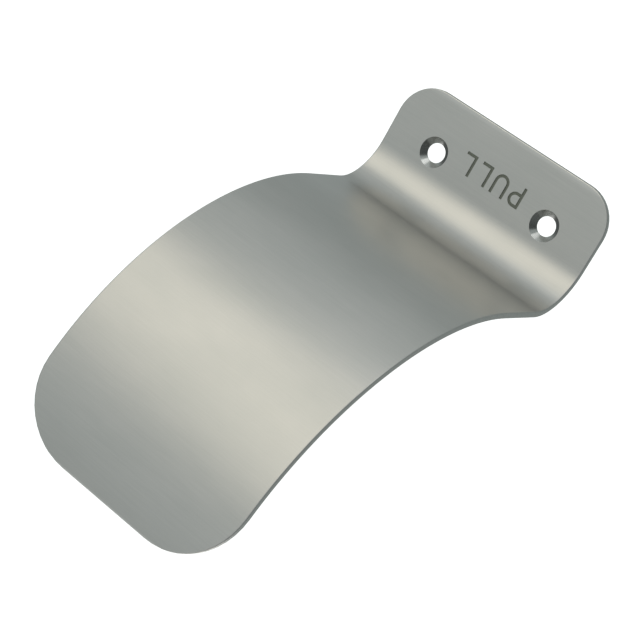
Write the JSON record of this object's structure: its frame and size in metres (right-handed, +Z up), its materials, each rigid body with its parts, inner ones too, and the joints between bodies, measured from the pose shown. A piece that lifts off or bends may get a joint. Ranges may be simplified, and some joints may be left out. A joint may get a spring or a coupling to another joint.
{
  "type": "hands-free door pull",
  "caption": "Hands-free door pull folded from one satin stainless sheet: a countersunk flange screws to the door and a wide curved arm lets a forearm draw it open.",
  "frame": {"origin": "on the face that lies against the door, midway between the two screw holes", "axes": "+Z up the door, from the screw flange towards the tip of the arm; -Y out into the room, the way the screws come out and the arm stands; X across the door, along the line of the holes"},
  "size_m": [0.0798, 0.1148, 0.1277],
  "materials": {
    "satin_stainless": "satin, fine grain, uncoated"
  },
  "bodies": {
    "root": {"pull_plate": "satin_stainless"}
  },
  "joints": []
}
